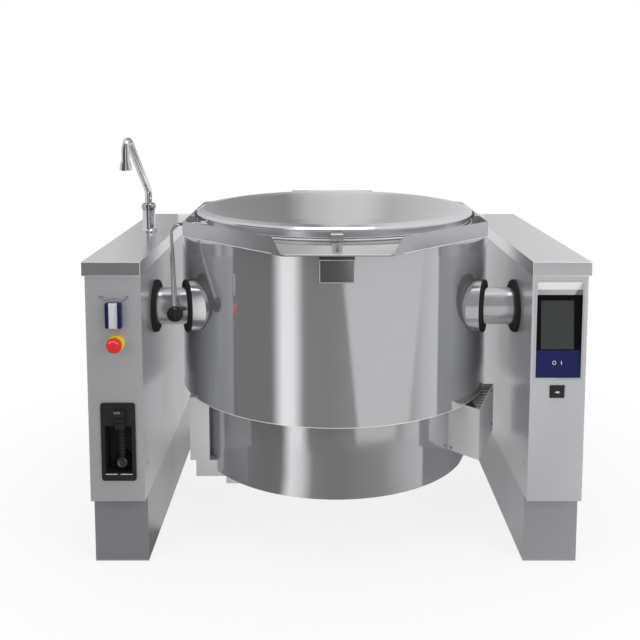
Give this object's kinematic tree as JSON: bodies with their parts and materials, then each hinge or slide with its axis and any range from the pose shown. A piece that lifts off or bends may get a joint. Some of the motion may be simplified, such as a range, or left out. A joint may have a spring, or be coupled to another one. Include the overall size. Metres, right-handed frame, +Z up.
{
  "type": "steam jacketed kettle",
  "caption": "Tilting steam jacketed kettle with a domed lid, a pouring lip and a swivel water tap, hung on trunnions between two service consoles.",
  "frame": {"origin": "on the floor, in the middle of the overall width and depth", "axes": "+X to the operator's right, +Y towards the wall, +Z up"},
  "size_m": [1.43, 1.098, 1.236],
  "materials": {
    "satin_steel": "satin stainless sheet",
    "polished_steel": "polished stainless",
    "raw_steel": "mill finish steel",
    "cast": "painted casting",
    "aluminium": "die cast, matt",
    "black_rubber": "matt",
    "white_rubber": "silicone",
    "black_plastic": "fine grain",
    "gloss_black": "polished",
    "navy_plastic": "fine grain",
    "yellow_plastic": "smooth",
    "red_plastic": "smooth",
    "grey_plastic": "moulded",
    "screen": "black toughened glass",
    "brass": "machined",
    "wool": "glass wool"
  },
  "bodies": {
    "stand": {"left_worktop": "satin_steel", "right_worktop": "satin_steel", "left_plinth": "satin_steel", "right_plinth": "satin_steel", "left_inner_panel": "satin_steel", "right_inner_panel": "satin_steel", "left_outer_panel": "satin_steel", "right_outer_panel": "satin_steel", "left_front_panel": "satin_steel", "right_front_panel": "satin_steel", "left_bearing_stand": "raw_steel", "right_bearing_stand": "raw_steel", "left_bearing": "cast", "right_bearing": "cast", "levelling_feet": "black_plastic", "bearing_bolts": "raw_steel", "console_seals": "black_rubber", "tilt_gearbox": "cast", "tilt_motor": "aluminium", "tap_column": "polished_steel", "water_valve": "brass", "cable_gland": "grey_plastic", "control_box": "grey_plastic", "control_switches": "grey_plastic", "emergency_stop_collar": "yellow_plastic", "probe_bay": "black_plastic", "screen_bezel": "polished_steel", "screen_glass": "screen", "display_module": "grey_plastic", "usb_socket": "black_plastic"},
    "kettle": {"inner_vessel": "satin_steel", "steam_jacket": "raw_steel", "heating_elements": "raw_steel", "insulation": "wool", "drum_casing": "polished_steel", "lower_casing": "satin_steel", "bottom_cover": "satin_steel", "rim_collar": "satin_steel", "pouring_lip": "satin_steel", "rear_deck": "satin_steel", "drum_front_plate": "satin_steel", "safety_valve": "brass", "valve_cover": "satin_steel", "cable_duct": "satin_steel", "hinge_bracket": "satin_steel", "left_trunnion": "polished_steel", "right_trunnion": "polished_steel", "kettle_seals": "black_rubber"},
    "lid": {"lid_shell": "polished_steel", "lid_liner": "satin_steel", "lid_gasket": "white_rubber", "lid_hinge_arm": "satin_steel", "lid_handle": "polished_steel", "lid_handle_ball": "gloss_black"},
    "tap_arm": {"tap_spout": "polished_steel", "tap_nozzle": "polished_steel"},
    "tilt_control": {"tilt_knob": "navy_plastic"},
    "stop_button": {"emergency_stop_button": "red_plastic"},
    "probe": {"temperature_probe": "black_plastic"},
    "usb_flap": {"usb_cover": "black_plastic"}
  },
  "joints": [
    {"name": "kettle_tilt", "type": "hinge", "parent": "stand", "child": "kettle", "pos_m": [0, -0.227, 0.723], "axis": [1, 0, 0], "range_deg": [0, 90]},
    {"name": "lid_hinge", "type": "hinge", "parent": "kettle", "child": "lid", "pos_m": [0, 0.484, 0.986], "axis": [-1, 0, 0], "range_deg": [0, 85]},
    {"name": "tap_swivel", "type": "hinge", "parent": "stand", "child": "tap_arm", "pos_m": [-0.633, 0.112, 1], "axis": [0, 0, -1], "range_deg": [-90, 45]},
    {"name": "tilt_knob_turn", "type": "hinge", "parent": "stand", "child": "tilt_control", "pos_m": [-0.626, -0.437, 0.749], "axis": [0, 1, 0], "range_deg": [-35, 35], "stiffness_Nm_per_rad": 0.25},
    {"name": "emergency_stop_push", "type": "slide", "parent": "stand", "child": "stop_button", "axis": [0, 1, 0], "range_m": [0, 0.004]},
    {"name": "probe_pull", "type": "slide", "parent": "stand", "child": "probe", "axis": [0, -1, 0], "range_m": [0, 0.04]},
    {"name": "usb_flap_hinge", "type": "hinge", "parent": "stand", "child": "usb_flap", "pos_m": [0.627, -0.4408, 0.542], "axis": [-1, 0, 0], "range_deg": [0, 110]}
  ]
}
